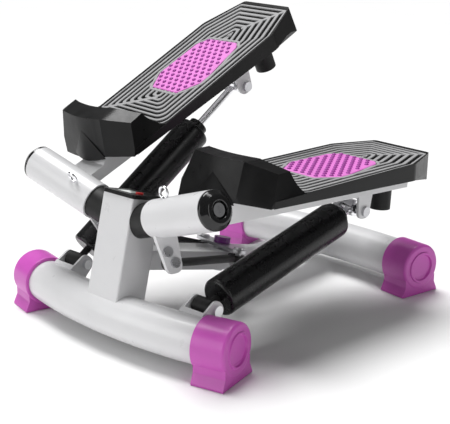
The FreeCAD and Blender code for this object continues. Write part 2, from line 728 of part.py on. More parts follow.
def ahead_of_guard(section):
    """What is cut away in front of the toe guard, whose face leans forward to its foot."""
    lean = (section.front - section.foot) / (section.top - GUARD_FOOT)
    return [(section.front + lean * (60 - section.top), 60),
            (section.foot - lean * (60 + GUARD_FOOT), -60), (-130, -60), (-130, 60)]


def inside_guard(section):
    """Hollow under the toe guard."""
    wall = dim("shell_wall")
    under_deck = -dim("tread_thickness") - wall
    roof = section.top - wall
    return [(section.foot + 4, -60), (section.foot + 4, GUARD_FOOT), (section.front + 4, roof),
            (section.rear - 4, roof), (4, under_deck), (4, -60)]


def pedal_shell(side, hand):
    """Moulded pedal with a skirt and a raised toe guard; both pedals come from one mould."""
    wall = dim("shell_wall")
    wide = dim("pedal_width")
    end = dim("pedal_length")
    under_deck = -dim("tread_thickness") - wall
    body = body_named(side + "_shell_body")
    plan = sketch_on(body, "XY_Plane", -37.0)
    add_outline(plan, outline_points())
    pad(body, plan, "37 + guard_top")
    carve(body, section_stack(body, GUARD, above_pedal))
    carve(body, section_stack(body, GUARD, ahead_of_guard))
    taper = sketch_on(body, "XZ_Plane", -16.0)
    add_outline(taper, [(wide, -3), (90, -3), (90, 60), (52, 60)])
    add_outline(taper, [(-wide, -3), (-50, 44), (-50, 60), (-90, 60), (-90, -3)])
    pocket(body, taper, 120.0, backward=True)
    skirt = sketch_on(body, "YZ_Plane")
    add_outline(skirt, [
        (-100, -60), (-100, -6), (-20, -8), (212, -21.5, 20), (end - 10, -36), (end - 10, -37.2),
        (end + 5, -37.2), (end + 5, -60)])
    pocket(body, skirt, symmetric=True)
    cavity = sketch_on(body, "XY_Plane", under_deck)
    add_outline(cavity, outline_points(wall, 3.0))
    pocket(body, cavity)
    hollow = [guard_section(across) for across in (-50.0, -20.0, 24.0, 54.0)]
    carve(body, section_stack(body, hollow, inside_guard))
    notch = sketch_on(body, "XZ_Plane", 20.0)
    half = dim("arm_width") / 2 + 1.0
    add_outline(notch, [(-half, -60), (half, -60), (half, -2, 3), (-half, -2, 3)])
    pocket(body, notch, 60.0, backward=True)
    bosses = []
    for along in (30, 130, 240):
        gap = dim("arm_bottom") - dim("arm_height") + along * math.tan(ARM_FALL) + under_deck
        boss = block(f"{side}_shell_boss_{along}", (-14, 14), (along - 6, along + 6),
                     (dim("arm_height"), dim("arm_height") + gap + 1.5))
        bosses.append(tool(boss, ARM_TILT))
    place = pedal_side_place(PEDAL_PLACE, hand)
    keep(fuse(side + "_shell_set", body, *bosses), side + "_pedal_shell", place)


# Corners of the massage pad's opening in the tread, across and rearward, anticlockwise.
PAD_CORNERS = ((-22.0, 70.5), (28.0, 70.5), (46.8, 97.0), (46.8, 112.0), (36.0, 175.0), (28.0, 183.5),
               (-25.0, 181.5), (-36.0, 166.0), (-38.0, 100.0))
PAD_CORNER_RADIUS = 5.0


def pad_points(inset=0.0):
    """The pad's outline drawn in evenly by `inset`."""
    corners = [Vector(x, y, 0) for x, y in PAD_CORNERS]
    points = []
    for index, corner in enumerate(corners):
        enter = (corner - corners[index - 1]).normalize()
        leave = (corners[(index + 1) % len(corners)] - corner).normalize()
        inward = Vector(-enter.y - leave.y, enter.x + leave.x, 0)
        moved = corner + inward * (inset / (1 + enter.dot(leave)))
        points.append((moved.x, moved.y, PAD_CORNER_RADIUS - inset))
    return points


def tread_and_pad(side, hand):
    """Tread mat with a many-sided opening, and the massage pad that fills it."""
    place = pedal_side_place(PEDAL_PLACE, hand)
    thickness = dim("tread_thickness")
    mat = body_named(side + "_mat_body")
    plan = sketch_on(mat, "XY_Plane", -thickness)
    wide = dim("pedal_width") - 3.0
    narrow = dim("pedal_rear") + 5.5
    rear = dim("pedal_length") - 15.5
    add_outline(plan, [(-wide, 13, 20), (wide, 13, 20), (wide, 208, 6), (narrow, rear), (-narrow, rear),
                       (-wide, 208, 6)])
    pad(mat, plan, "tread_thickness")
    opening = sketch_on(mat, "XY_Plane", -thickness)
    add_outline(opening, pad_points())
    pocket(mat, opening, backward=True)
    keep(mat, side + "_tread_mat", place)
    cushion = prism(side + "_pad_body", "XY_Plane", pad_points(0.2), thickness + 1.5, offset=-thickness)
    keep(cushion, side + "_massage_pad", place)


def clevis_pin():
    """Upper damper pin in the arm's own frame."""
    return ARM_TILT.inverse().multVec(Vector(0, dim("clevis_rear"), -dim("clevis_drop")))


def upper_clevis(side, hand):
    """U bracket under the arm that holds the damper's upper pin."""
    pin = clevis_pin()
    parts = [block(side + "_clevis_web", (-21, 21), (pin.y - 13, pin.y + 13), (-3, 0))]
    for name, offset in (("inner", -21.0), ("outer", 17.5)):
        parts.append(prism(f"{side}_clevis_{name}", "YZ_Plane", [
            (pin.y - 13, 0), (pin.y - 11, pin.z - 9.5, 9), (pin.y + 9, pin.z - 9.5, 9), (pin.y + 13, 0)],
            3.5, offset=offset))
    hole = cylinder(side + "_clevis_hole", "pin_radius", -40, 40, "x", pin)
    item = cut(side + "_clevis_cut", fuse(side + "_clevis_fuse", *parts), hole)
    keep(item, side + "_upper_clevis", pedal_side_place(ARM_PLACE, hand))


def bumper(side, hand):
    """Rubber stop under the rear end of the arm."""
    at = (0, 235.0, 0)
    barrel = cylinder(side + "_bumper_barrel", 14.0, -29, 0, "z", at)
    recess = cylinder(side + "_bumper_recess", 5.0, -40, -22, "z", at)
    keep(cut(side + "_bumper_cut", barrel, recess), side + "_bumper", pedal_side_place(ARM_PLACE, hand))


def pedal_magnet():
    """Magnet on the right lever that passes the step sensor."""
    item = cylinder("magnet_disc", 4.0, 56.0, 59.5, "x", (0, 8, -28))
    keep(item, "sensor_magnet", AXLE_PLACE)


# ---------------------------------------------------------------- dampers

def damper_frame(hand):
    """Frame at the lower pin, z towards the upper eye, x along the pedals' hinge direction."""
    low = LOWER_PIN
    eye = PEDAL_PLACE.multVec(Vector(0, dim("clevis_rear"), -dim("clevis_drop")))
    shift = DAMPER_SHIFT["right"]
    if hand < 0:
        eye = turned(Placement(eye, Rotation()), PIVOT, AXLE, dim("pedal_raise")).Base
        shift = DAMPER_SHIFT["left"]
    along = (eye - low).normalize()
    square = along.cross(AXLE).normalize()
    eye = eye + square * shift[0] + along * shift[1]
    along = (eye - low).normalize()
    place = frame(low, AXLE, along.cross(AXLE))
    reach = (eye - low).Length
    return (place if hand > 0 else mirrored(place)), reach, eye


def damper_barrel(side, hand):
    place, _, _ = damper_frame(hand)
    radius, start, end = dim("damper_radius"), dim("damper_start"), dim("damper_end")
    tube = body_named(side + "_barrel_body")
    sketch = sketch_on(tube, "XZ_Plane")
    add_outline(sketch, [
        (4.5, start), (radius, start, 4), (radius, end, 6), (13, end, 1), (13, end + 9, 2),
        (5.06, end + 9), (5.06, end - 8), (radius - 2.5, end - 8), (radius - 2.5, start + 8),
        (4.5, start + 8)])
    turn = tube.newObject("PartDesign::Revolution", side + "_barrel_turn")
    turn.Profile = sketch
    turn.ReferenceAxis = (sketch, ["V_Axis"])
    turn.Angle = 360.0
    keep(tube, side + "_damper_barrel", place)
    pin_line = place.inverse().Rotation.multVec(Vector(1, 0, 0))
    roller = cylinder(side + "_eye_roller", 10.5, 0, 24)
    roller.Placement = Placement(pin_line * -12, Rotation(Vector(0, 0, 1), pin_line))
    stem = cylinder(side + "_eye_stem", 4.5, 4, start + 8)
    bore = cylinder(side + "_eye_bore", 7.0, 0, 40)
    bore.Placement = Placement(pin_line * -20, Rotation(Vector(0, 0, 1), pin_line))
    keep(cut(side + "_eye_cut", fuse(side + "_eye_fuse", roller, stem), bore), side + "_damper_eye", place)


def damper_rod(side, hand):
    """Chrome rod with an eye on the upper pin and a piston inside the barrel."""
    place, reach, _ = damper_frame(hand)
    clevis = pedal_side_place(PEDAL_PLACE, hand)
    pin_line = place.inverse().Rotation.multVec(clevis.Rotation.multVec(Vector(1, 0, 0)))
    eye = cylinder(side + "_rod_eye", 10.5, 0, 15)
    eye.Placement = Placement(Vector(0, 0, reach) - pin_line * 7.5, Rotation(Vector(0, 0, 1), pin_line))
    bore = cylinder(side + "_rod_bore", "rod_eye_bore", 0, 30)
    bore.Placement = Placement(Vector(0, 0, reach) - pin_line * 15, Rotation(Vector(0, 0, 1), pin_line))
    stem = cylinder(side + "_rod_stem", "rod_radius", reach - 150, reach - 7)
    piston = cylinder(side + "_rod_piston", "damper_radius - 2.6", reach - 156, reach - 144)
    rod = fuse(side + "_rod_fuse", eye, stem, piston)
    keep(cut(side + "_rod_cut", rod, bore), side + "_damper_rod", place)


# ---------------------------------------------------------------- rocker and links

def stud_point(hand):
    """Rocker stud in the rocker's own frame at rest."""
    turn = math.radians(dim("rocker_turn"))
    reach = dim("rocker_reach")
    return Vector(hand * reach * math.cos(turn), -hand * reach * math.sin(turn), -5.0)


def rocker():
    """Flat bar on the spine that ties the two pedals together, with a stud at each end."""
    reach = dim("rocker_reach")
    bar = prism("rocker_bar", "XY_Plane", [
        (-reach - 10, -10, 9.5), (0, -14, 8), (reach + 10, -10, 9.5), (reach + 10, 10, 9.5), (0, 14, 8),
        (-reach - 10, 10, 9.5)], 4.0, offset=2.5)
    studs = []
    for side, hand in SIDES:
        studs.append(cylinder(side + "_rocker_stud", "pin_radius", -13, 2.5, "z", (hand * reach, 0, 0)))
        studs.append(cylinder(side + "_rocker_stud_head", 6.5, 6.5, 9.0, "z", (hand * reach, 0, 0)))
        studs.append(cylinder(side + "_rocker_stud_foot", 9.0, -15, -12.5, "z", (hand * reach, 0, 0)))
    hole = cylinder("rocker_hole", "pin_radius + running_gap", -5, 20)
    item = cut("rocker_cut", fuse("rocker_fuse", bar, *studs), hole)
    spin = Placement(Vector(), Rotation(Vector(0, 0, 1), -dim("rocker_turn")))
    keep(item, "rocker_arm", rocker_place().multiply(spin))


def rocker_bolt():
    """Bolt through the spine with a washer above it and a nut below."""
    low = -dim("spine_height")
    shank = cylinder("rocker_bolt_shank", "pin_radius", low - 6, 10)
    washer = cylinder("rocker_bolt_washer", 9.0, 0, 2.3)
    head = cylinder("rocker_bolt_head", 7.0, 6.7, 11)
    nut = cylinder("rocker_bolt_nut", 6.5, low - 6, low)
    bolt = fuse("rocker_bolt_fuse", shank, washer, head, nut)
    keep(bolt, "rocker_bolt", rocker_place())
    cap = cylinder("rocker_cap_dome", 10.5, 6.9, 14.5)
    seat = cylinder("rocker_cap_seat", 7.0, 6.0, 11)
    keep(cut("rocker_cap_cut", cap, seat), "rocker_bolt_cap", rocker_place())


def link_rod(side, hand):
    """Rod from the lever's long bolt to the open eye over the rocker stud."""
    lever = pedal_side_place(AXLE_PLACE, hand)
    front = lever.multVec(Vector(hand * 54, *LEVER_HOLES[1]))
    rear = rocker_place().multVec(stud_point(hand))
    rear = rear + Vector(*LINK_SHIFT[side])
    length = (rear - front).Length
    place = Placement(front, Rotation(Vector(0, 1, 0), rear - front))
    bolt_line = place.inverse().Rotation.multVec(lever.Rotation.multVec(Vector(1, 0, 0)))
    stud_line = place.inverse().Rotation.multVec(rocker_place().Rotation.multVec(Vector(0, 0, 1)))
    front_eye = cylinder(side + "_link_front", 9.0, 0, 8)
    front_eye.Placement = Placement(bolt_line * -4, Rotation(Vector(0, 0, 1), bolt_line))
    front_bore = cylinder(side + "_link_front_bore", "pin_radius + running_gap", 0, 30)
    front_bore.Placement = Placement(bolt_line * -15, Rotation(Vector(0, 0, 1), bolt_line))
    far_end = Vector(0, length, 0)
    upright = Rotation(Vector(0, 0, 1), stud_line)
    rear_eye = cylinder(side + "_link_rear", 11.0, 0, 8)
    rear_eye.Placement = Placement(far_end - stud_line * 4, upright)
    rear_bore = cylinder(side + "_link_rear_bore", "link_eye_bore", 0, 30)
    rear_bore.Placement = Placement(far_end - stud_line * 15, upright)
    shaft = cylinder(side + "_link_shaft", "link_radius", 8.6, length - 8.6, "y")
    rod = fuse(side + "_link_fuse", front_eye, rear_eye, shaft)
    keep(cut(side + "_link_cut", rod, front_bore, rear_bore), side + "_link_rod", place)


# ---------------------------------------------------------------- assembly

def build():
    front_envelope = tool(bowed_tube("front_envelope", "front", hollow=False), bow_place("front"))
    rear_envelope = tool(bowed_tube("rear_envelope", "rear", hollow=False), bow_place("rear"))
    post_envelope = tool(post_block("post_envelope"), POST_PLACE)
    keep(bowed_tube("front_tube", "front"), "front_cross_tube", bow_place("front"))
    keep(bowed_tube("rear_tube", "rear"), "rear_cross_tube", bow_place("rear"))
    for end in ("front", "rear"):
        for side, hand in SIDES:
            foot_cap(f"{end}_{side}_foot_cap", end, hand)
    post_tube(front_envelope)
    spine_tube(front_envelope, rear_envelope, post_envelope)
    lower_pins()
    axle_end_screws()
    console()
    rocker()
    rocker_bolt()
    pedal_magnet()
    for side, hand in SIDES:
        envelope = pivot_envelope(side, hand)
        axle(side, hand)
        axle_collar(side, hand, post_envelope)
        axle_end_cap(side, hand)
        lower_bracket(side, hand, front_envelope)
        pivot_tube(side, hand)
        lever_plate(side, hand, envelope)
        pedal_bolts(side, hand)
        strap_eyelet(side, hand, envelope)
        pedal_arm(side, hand, envelope)
        pedal_shell(side, hand)
        tread_and_pad(side, hand)
        upper_clevis(side, hand)
        bumper(side, hand)
        damper_barrel(side, hand)
        damper_rod(side, hand)
        link_rod(side, hand)


def check_and_write():
    DOC.recompute()
    for item in DOC.Objects:
        if "Invalid" in item.State or "Error" in item.State:
            raise RuntimeError(f"{item.Name} ({item.Label}) is in state {item.State}")
    for item in NODES:
        if item.Shape.isNull() or not item.Shape.isValid() or not item.Shape.Solids:
            raise RuntimeError(f"{item.Label} has no valid solid")
    os.makedirs("parts", exist_ok=True)
    for item in NODES:
        item.Shape.exportStep(f"parts/{item.Label}.step")
    print(f"{len(NODES)} nodes written")


build()
check_and_write()
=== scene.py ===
import math

import bmesh
import bpy
from mathutils import Matrix, Vector


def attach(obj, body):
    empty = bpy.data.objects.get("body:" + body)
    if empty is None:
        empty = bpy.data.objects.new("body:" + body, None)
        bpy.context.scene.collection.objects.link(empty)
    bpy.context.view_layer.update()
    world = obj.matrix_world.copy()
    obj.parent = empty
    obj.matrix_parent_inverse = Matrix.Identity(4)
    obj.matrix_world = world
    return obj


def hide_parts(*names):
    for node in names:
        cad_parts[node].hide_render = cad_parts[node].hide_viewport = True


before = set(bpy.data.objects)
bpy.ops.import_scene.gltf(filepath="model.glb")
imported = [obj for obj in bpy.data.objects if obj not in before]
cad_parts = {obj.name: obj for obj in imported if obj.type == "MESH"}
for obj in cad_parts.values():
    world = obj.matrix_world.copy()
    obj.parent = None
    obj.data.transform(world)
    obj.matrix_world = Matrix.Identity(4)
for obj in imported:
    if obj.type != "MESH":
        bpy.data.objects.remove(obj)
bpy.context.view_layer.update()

MM = 0.001
SIDES = ("right", "left")

# Pedal sizes in millimetres, in the pedal's own frame: u across to +X, v to the rear, n up from the tread.
HALF_WIDTH = 69.2
STRAIGHT = 211.7
LENGTH = 272.5
REAR_HALF = 44.3
RIM = 0.6
WALL = 3.0
UNDER_DECK = -6.5
REAR_CORNER = 20.0
END_CORNER = 6.0
COVER_FRONT = -36
COVER_BEVEL = 1.6
COVER_SMOOTH = 22

# Skirt: its lower edge at the tread's front, its fall per millimetre, and the lip at the rear corners.
SKIRT_FOOT = -9.3
SKIRT_FALL = 0.055
LIP_START = 238
LIP_DROP = 12.0

# Ribs under the deck: where they stand, their thickness, and their half widths before and past the bend.
RIB_PLACES = (60, 120, 180, 232)
RIB_THICK = 2
RIB_LONG = HALF_WIDTH - 4
RIB_SHORT = 58

# Toe guard: height of its left top edge, drop of its right one, crease between the two faces, its left
# end, the step between the sections that wrap round that end, and the tip of the hood.
GUARD_TOP = 37.0
GUARD_DROP = 10.0
CREASE_TOP = (24.0, -39.0)
CREASE_FOOT = (28.0, -56.0)
GUARD_END = -HALF_WIDTH + 0.05
WRAP_STEP = 0.9
HOOD_APEX = (-15.0, -49.6, 20.0)

# Tread: rubber between the ridges, the mat's edges, its bed in the cover, and the fit round it. The
# nested ridges step inward at each side's own spacing, and mitre bars run to the two centres.
TREAD_FLOOR = -1.9
MAT_BED = -2.6
MAT_FIT = -0.4 / 8.4
MAT_FRONT = 11.0
MAT_SIDE = HALF_WIDTH - 3.4
MAT_BEND = 208.5
MAT_REAR = LENGTH - 6.5
RIDGE_PITCH = (6.6, 8.4, 9.4, 9.0, 9.4, 8.4)
RIDGE_COUNT = 8
MITRE_CENTRES = ((6, 56), (6, 214))
MITRE_HALF = 2.2

# Pad: the grey ring and black gap round it, its outline, its nubs, and the heights of its plate.
PAD_RING = 3.6
PAD_GAP = 1.3
PAD_CORNER = 5.0
PAD_CORNERS = ((-22, 70.5), (28, 70.5), (46.8, 97), (46.8, 112), (36, 175), (28, 183.5), (-25, 181.5),
               (-36, 166), (-38, 100))
NUB_PITCH = (10.8, 7.8)
NUB_START = (-17.0, 76.2)
NUB_RADIUS = 2.85
NUB_HEIGHT = 2.0
NUB_BASE = 0.55
NUB_INSET = 3.6
PAD_FOOT = -2.4
PAD_EDGE = 0.1
PAD_TOP = 0.7

# Studio: strength of the air's light, the key light, and half the floor's side and its drop in metres.
AIR_LIGHT = 0.13
SUN_FROM = (-0.33, 0.1, 0.94)
SUN_STRENGTH = 3.3
SUN_SPREAD = 32.0
FLOOR_REACH = 6.0
FLOOR_DROP = -0.0006

# Camera: lens and sensor in millimetres, place in metres, yaw and downward pitch in degrees.
LENS = 80.17
SENSOR = 36
CAMERA_PLACE = (0.84672, -0.89878, 0.4795)
CAMERA_YAW = 43.64
CAMERA_PITCH = 16.36


# ---------------------------------------------------------------- materials

def noise(tree, scale, detail, stretch=(1, 1, 1)):
    """Noise in metres of the object's own space, so that it rides with the piece."""
    nodes, links = tree.nodes, tree.links
    place = nodes.new("ShaderNodeTexCoord")
    spread = nodes.new("ShaderNodeMapping")
    spread.inputs["Scale"].default_value = stretch
    links.new(place.outputs["Object"], spread.inputs["Vector"])
    grain = nodes.new("ShaderNodeTexNoise")
    grain.inputs["Scale"].default_value = scale
    grain.inputs["Detail"].default_value = detail
    grain.inputs["Roughness"].default_value = 0.6
    links.new(spread.outputs["Vector"], grain.inputs["Vector"])
    return grain.outputs["Fac"]


def ramp(tree, value, low, high, start=0.3, end=0.7):
    """Colour that goes from `low` to `high` as the value goes from start to end."""
    blend = tree.nodes.new("ShaderNodeValToRGB")
    blend.color_ramp.elements[0].position = start
    blend.color_ramp.elements[1].position = end
    blend.color_ramp.elements[0].color = (*low, 1)
    blend.color_ramp.elements[1].color = (*high, 1)
    tree.links.new(value, blend.inputs["Fac"])
    return blend.outputs["Color"]


def spread_value(tree, value, low, high):
    scale = tree.nodes.new("ShaderNodeMapRange")
    scale.inputs["From Min"].default_value = 0.3
    scale.inputs["From Max"].default_value = 0.7
    scale.inputs["To Min"].default_value = low
    scale.inputs["To Max"].default_value = high
    tree.links.new(value, scale.inputs["Value"])
    return scale.outputs["Result"]


def surface(name, colour, rough, vary, metal=0.0, cloud=18.0, grain=900.0, bump=0.15, depth=0.0003,
            stretch=(1, 1, 1), coat=0.0, specular=0.5):
    """One principled finish: clouded colour, uneven roughness and a fine grain in the surface."""
    material = bpy.data.materials.new(name)
    material.use_nodes = True
    tree = material.node_tree
    shader = tree.nodes["Principled BSDF"]
    clouds = noise(tree, cloud, 4.0)
    dark = tuple(c * (1 - vary) for c in colour)
    light = tuple(min(1.0, c * (1 + vary)) for c in colour)
    tree.links.new(ramp(tree, clouds, dark, light), shader.inputs["Base Color"])
    smear = noise(tree, cloud * 4, 3.0, stretch)
    uneven = spread_value(tree, smear, rough * 0.85, min(1.0, rough * 1.15))
    tree.links.new(uneven, shader.inputs["Roughness"])
    relief = tree.nodes.new("ShaderNodeBump")
    relief.inputs["Strength"].default_value = bump
    relief.inputs["Distance"].default_value = depth
    tree.links.new(noise(tree, grain, 3.0, stretch), relief.inputs["Height"])
    tree.links.new(relief.outputs["Normal"], shader.inputs["Normal"])
    shader.inputs["Metallic"].default_value = metal
    shader.inputs["Specular IOR Level"].default_value = specular
    shader.inputs["Coat Weight"].default_value = coat
    shader.inputs["Coat Roughness"].default_value = 0.12
    return material


def make_finishes():
    """Every finish by the name of the record's material slot."""
    return {
        "cap_magenta": surface("cap_magenta_moulded", (0.57, 0.09, 0.47), 0.34, 0.05, grain=1400,
                               bump=0.10),
        "frame_white": surface("frame_white_powder", (0.70, 0.70, 0.71), 0.32, 0.02, grain=1200, bump=0.03,
                               depth=0.0001, coat=0.15),
        "tread_grey": surface("tread_grey_rubber", (0.36, 0.36, 0.365), 0.62, 0.09, cloud=40, grain=1800,
                              bump=0.25),
        "pad_pink": surface("pad_pink_rubber", (0.80, 0.21, 0.68), 0.5, 0.05, cloud=60, grain=1600,
                            bump=0.2),
        "shell_black": surface("shell_black_moulded", (0.006, 0.006, 0.0063), 0.32, 0.2, grain=2400,
                               bump=0.12, depth=0.0001, specular=0.2),
        "damper_black": surface("damper_black_enamel", (0.008, 0.008, 0.0085), 0.28, 0.1, grain=900,
                                bump=0.015, depth=0.0001, specular=0.35),
        "bright_chrome": surface("bright_chrome_plate", (0.84, 0.84, 0.86), 0.09, 0.03, metal=1.0,
                                 grain=300, bump=0.02, stretch=(1, 1, 6)),
        "zinc_steel": surface("zinc_steel_plate", (0.58, 0.58, 0.6), 0.3, 0.08, metal=1.0, grain=900,
                              bump=0.1),
        "zinc_plate": surface("zinc_sheet_plate", (0.66, 0.66, 0.68), 0.34, 0.08, metal=1.0, grain=700,
                              bump=0.12, stretch=(4, 1, 1)),
        "black_rubber": surface("black_rubber_moulded", (0.012, 0.012, 0.012), 0.5, 0.25, grain=1500,
                                bump=0.3, depth=0.0001, specular=0.25),
        "gloss_black": surface("gloss_black_polished", (0.008, 0.008, 0.0085), 0.12, 0.2, grain=200,
                               bump=0.02, depth=0.0001),
        "bush_nylon": surface("bush_nylon_oiled", (0.07, 0.07, 0.07), 0.4, 0.15, grain=1200, bump=0.1),
        "clear_lens": surface("clear_lens_window", (0.5, 0.55, 0.52), 0.08, 0.03, grain=200, bump=0.02),
        "lcd_grey": surface("lcd_grey_panel", (0.3, 0.36, 0.3), 0.25, 0.05, grain=1500, bump=0.05),
        "board_green": surface("board_green_mask", (0.03, 0.16, 0.07), 0.35, 0.15, grain=500, bump=0.2),
        "cell_foil": surface("cell_foil_wrap", (0.5, 0.5, 0.52), 0.25, 0.08, metal=1.0, grain=400,
                             bump=0.05),
        "button_red": surface("button_red_moulded", (0.6, 0.02, 0.02), 0.28, 0.06, grain=1500, bump=0.08),
        "link_black": surface("link_black_sleeve", (0.015, 0.015, 0.015), 0.42, 0.2, grain=900, bump=0.15),
        "cap_purple": surface("cap_purple_moulded", (0.22, 0.03, 0.27), 0.3, 0.06, grain=1400, bump=0.1),
    }


FINISH = make_finishes()
# The floor between the ridges is coloured near black, far darker than the grey ridges, which gives the
# grooves their dark look.
GROOVE_FLOOR_DARKENED = surface("groove_floor_darkened", (0.004, 0.004, 0.004), 0.8, 0.2, grain=1500, bump=0.3,
                       depth=0.0001, specular=0.06)
NUB_PURPLE = surface("nub_purple_rubber", (0.36, 0.035, 0.34), 0.42, 0.1, cloud=90, grain=1500,
                     bump=0.15)


def dress_frame():
    """Gives each CAD node the procedural finish of its slot."""
    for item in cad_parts.values():
        slot = item.data.materials[0].name.split(".")[0]
        item.data.materials[0] = FINISH[slot]


# ---------------------------------------------------------------- mesh helpers

def piece(name, mesh_data, finish, body, place):
    """Links a finished bmesh, given in millimetres of `place`, as a piece that rides on a body."""
    mesh = bpy.data.meshes.new(name)
    mesh_data.transform(place @ Matrix.Scale(MM, 4))
    mesh_data.normal_update()
    mesh_data.to_mesh(mesh)
    mesh_data.free()
    mesh.materials.append(finish)
    item = bpy.data.objects.new(name, mesh)
    bpy.context.scene.collection.objects.link(item)
    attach(item, body)
    return item


def smooth(item, angle):
    """Smooth shading that keeps edges sharper than the angle."""
    mesh = item.data
    mesh.polygons.foreach_set("use_smooth", [True] * len(mesh.polygons))
    mesh.set_sharp_from_angle(angle=math.radians(angle))


def soften(item, width, segments=3, angle=28.0):
    """Rounds the sharp edges with real faces and keeps the flats flat."""
    bevel = item.modifiers.new("soft_edges", "BEVEL")
    bevel.width = width * MM
    bevel.segments = segments
    bevel.limit_method = "ANGLE"
    bevel.angle_limit = math.radians(angle)
    even = item.modifiers.new("even_normals", "WEIGHTED_NORMAL")
    even.keep_sharp = True


def between(a, b, share):
    """Point of the plan that lies the given share of the way from a to b."""
    return (a[0] + (b[0] - a[0]) * share, a[1] + (b[1] - a[1]) * share)


def add_prism(mesh, outline, low, high):
    """Closed prism over a counter-clockwise outline; low may be a number or a function of (u, v)."""
    bottom = [mesh.verts.new((u, v, low(u, v) if callable(low) else low)) for u, v in outline]
    top = [mesh.verts.new((u, v, high)) for u, v in outline]
    count = len(outline)
    mesh.faces.new(reversed(bottom))
    mesh.faces.new(top)
    for i in range(count):
        j = (i + 1) % count
        mesh.faces.new((bottom[i], bottom[j], top[j], top[i]))


def rounded(points, radii, steps=6):
    """Outline with each corner turned into an arc; a radius of 0 keeps the corner."""
    result = []
    count = len(points)
    for i in range(count):
        corner = Vector(points[i])
        before = Vector(points[i - 1]) - corner
        after = Vector(points[(i + 1) % count]) - corner
        radius = radii[i]
        if radius <= 0:
            result.append(tuple(corner))
            continue
        half = before.angle(after) / 2
        reach = min(radius / math.tan(half), before.length * 0.49, after.length * 0.49)
        radius = reach * math.tan(half)
        start = corner + before.normalized() * reach
        end = corner + after.normalized() * reach
        bisector = (before.normalized() + after.normalized()).normalized()
        centre = corner + bisector * (radius / math.sin(half))
        for step in range(steps + 1):
            ray = (start - centre).lerp(end - centre, step / steps).normalized()
            result.append(tuple(centre + ray * radius))
    return result


def pedal_frame(side):
    """The pedal's own frame, read from the tread mat's flat top and its long straight sides."""
    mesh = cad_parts[side + "_tread_mat"].data
    area_of = {}
    for face in mesh.polygons:
        key = tuple(round(c, 2) for c in face.normal)
        area_of[key] = area_of.get(key, 0.0) + face.area
    normals = sorted(area_of, key=area_of.get, reverse=True)
    up = next(Vector(key).normalized() for key in normals if key[2] > 0.5)
    exact = [face.normal * face.area for face in mesh.polygons if face.normal.dot(up) > 0.999]
    up = sum(exact, Vector()).normalized()
    side_key = next(Vector(key).normalized() for key in normals if abs(Vector(key).dot(up)) < 0.05)
    exact = [face.normal * face.area for face in mesh.polygons if face.normal.dot(side_key) > 0.9995]
    across = sum(exact, Vector()).normalized()
    across = across if across.x > 0 else -across
    rearward = up.cross(across).normalized()
    points = [vert.co for vert in mesh.vertices]
    shell = [vert.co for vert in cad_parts[side + "_pedal_shell"].data.vertices]
    middle = (max(p.dot(across) for p in points) + min(p.dot(across) for p in points)) / 2
    level = max(p.dot(up) for p in points)
    start = max(p.dot(rearward) for p in shell) - LENGTH * MM
    origin = across * middle + rearward * start + up * level
    place = Matrix((across, rearward, up)).transposed().to_4x4()
    place.translation = origin
    return place


# ---------------------------------------------------------------- pedal cover

def skirt_line(_, v):
    """The skirt's lower edge, which falls to the rear and has a lip at the rear corners."""
    lip = max(0.0, (v - LIP_START) / (LENGTH - LIP_START))
    return SKIRT_FOOT - SKIRT_FALL * v - LIP_DROP * lip ** 2


def cover_outline(inset):
    """The pedal's plan, with the rear corners rounded."""
    wide, narrow = HALF_WIDTH - inset, REAR_HALF - inset * 0.7
    rear = LENGTH - inset
    points = [(-wide, COVER_FRONT), (wide, COVER_FRONT), (wide, STRAIGHT), (narrow, rear),
              (-narrow, rear), (-wide, STRAIGHT)]
    bend = REAR_CORNER - inset
    return rounded(points, (0, 0, bend, END_CORNER, END_CORNER, bend))


def split_long(outline, reach=14.0):
    """Adds points along the long edges, so that the lower edge can follow a curve."""
    result = []
    for i, point in enumerate(outline):
        following = outline[(i + 1) % len(outline)]
        count = max(1, int(math.dist(point, following) / reach))
        for step in range(count):
            result.append(between(point, following, step / count))
    return result


def guard_columns():
    """The toe guard from left to right: foot, top front, top rear, and where its rear slope ends."""
    columns = []
    left_steps = 14
    for step in range(left_steps + 1):
        t = step / left_steps
        top_u = -53 + (CREASE_TOP[0] + 53) * t
        foot_u = -66 + (CREASE_FOOT[0] + 66) * t
        top_v = -42 - 4.2 * math.sin(math.pi * min(1.0, t * 1.02)) + 3.0 * t
        foot_v = -58 - 3.0 * math.sin(math.pi * t) + 2.0 * t
        foot_n = -20 + 4 * t + 10 * t ** 3
        rear_v = -20 - 4 * math.sin(math.pi * t) + 5 * t
        end_v = 13.0 - 2.0 * math.sin(math.pi * t)
        columns.append(((foot_u, foot_v, foot_n), (top_u, top_v, GUARD_TOP), (top_u, rear_v, GUARD_TOP),
                        end_v))
    for t in (0.25, 0.5, 0.75, 1.0):
        top = GUARD_TOP - GUARD_DROP * t
        foot = (CREASE_FOOT[0] + 41 * t, CREASE_FOOT[1] + 15 * t, -6 - 0.6 * t)
        front = (CREASE_TOP[0] + 35.5 * t, CREASE_TOP[1] + 18 * t, top)
        rear = (22 + 36 * t, -15 + 13 * t, top)
        columns.append((foot, front, rear, 13.0 + 4.0 * t))
    return columns


def guard_knee(foot, front):
    """Point on the front face level with the tread, out at the pedal's full width on its sides."""
    share = (RIM - foot[2]) / (front[2] - foot[2])
    straight = [a + (b - a) * share for a, b in zip(foot, front)]
    reach = abs(foot[0]) / HALF_WIDTH
    return (straight[0] + (foot[0] - straight[0]) * reach ** 4, straight[1], RIM)


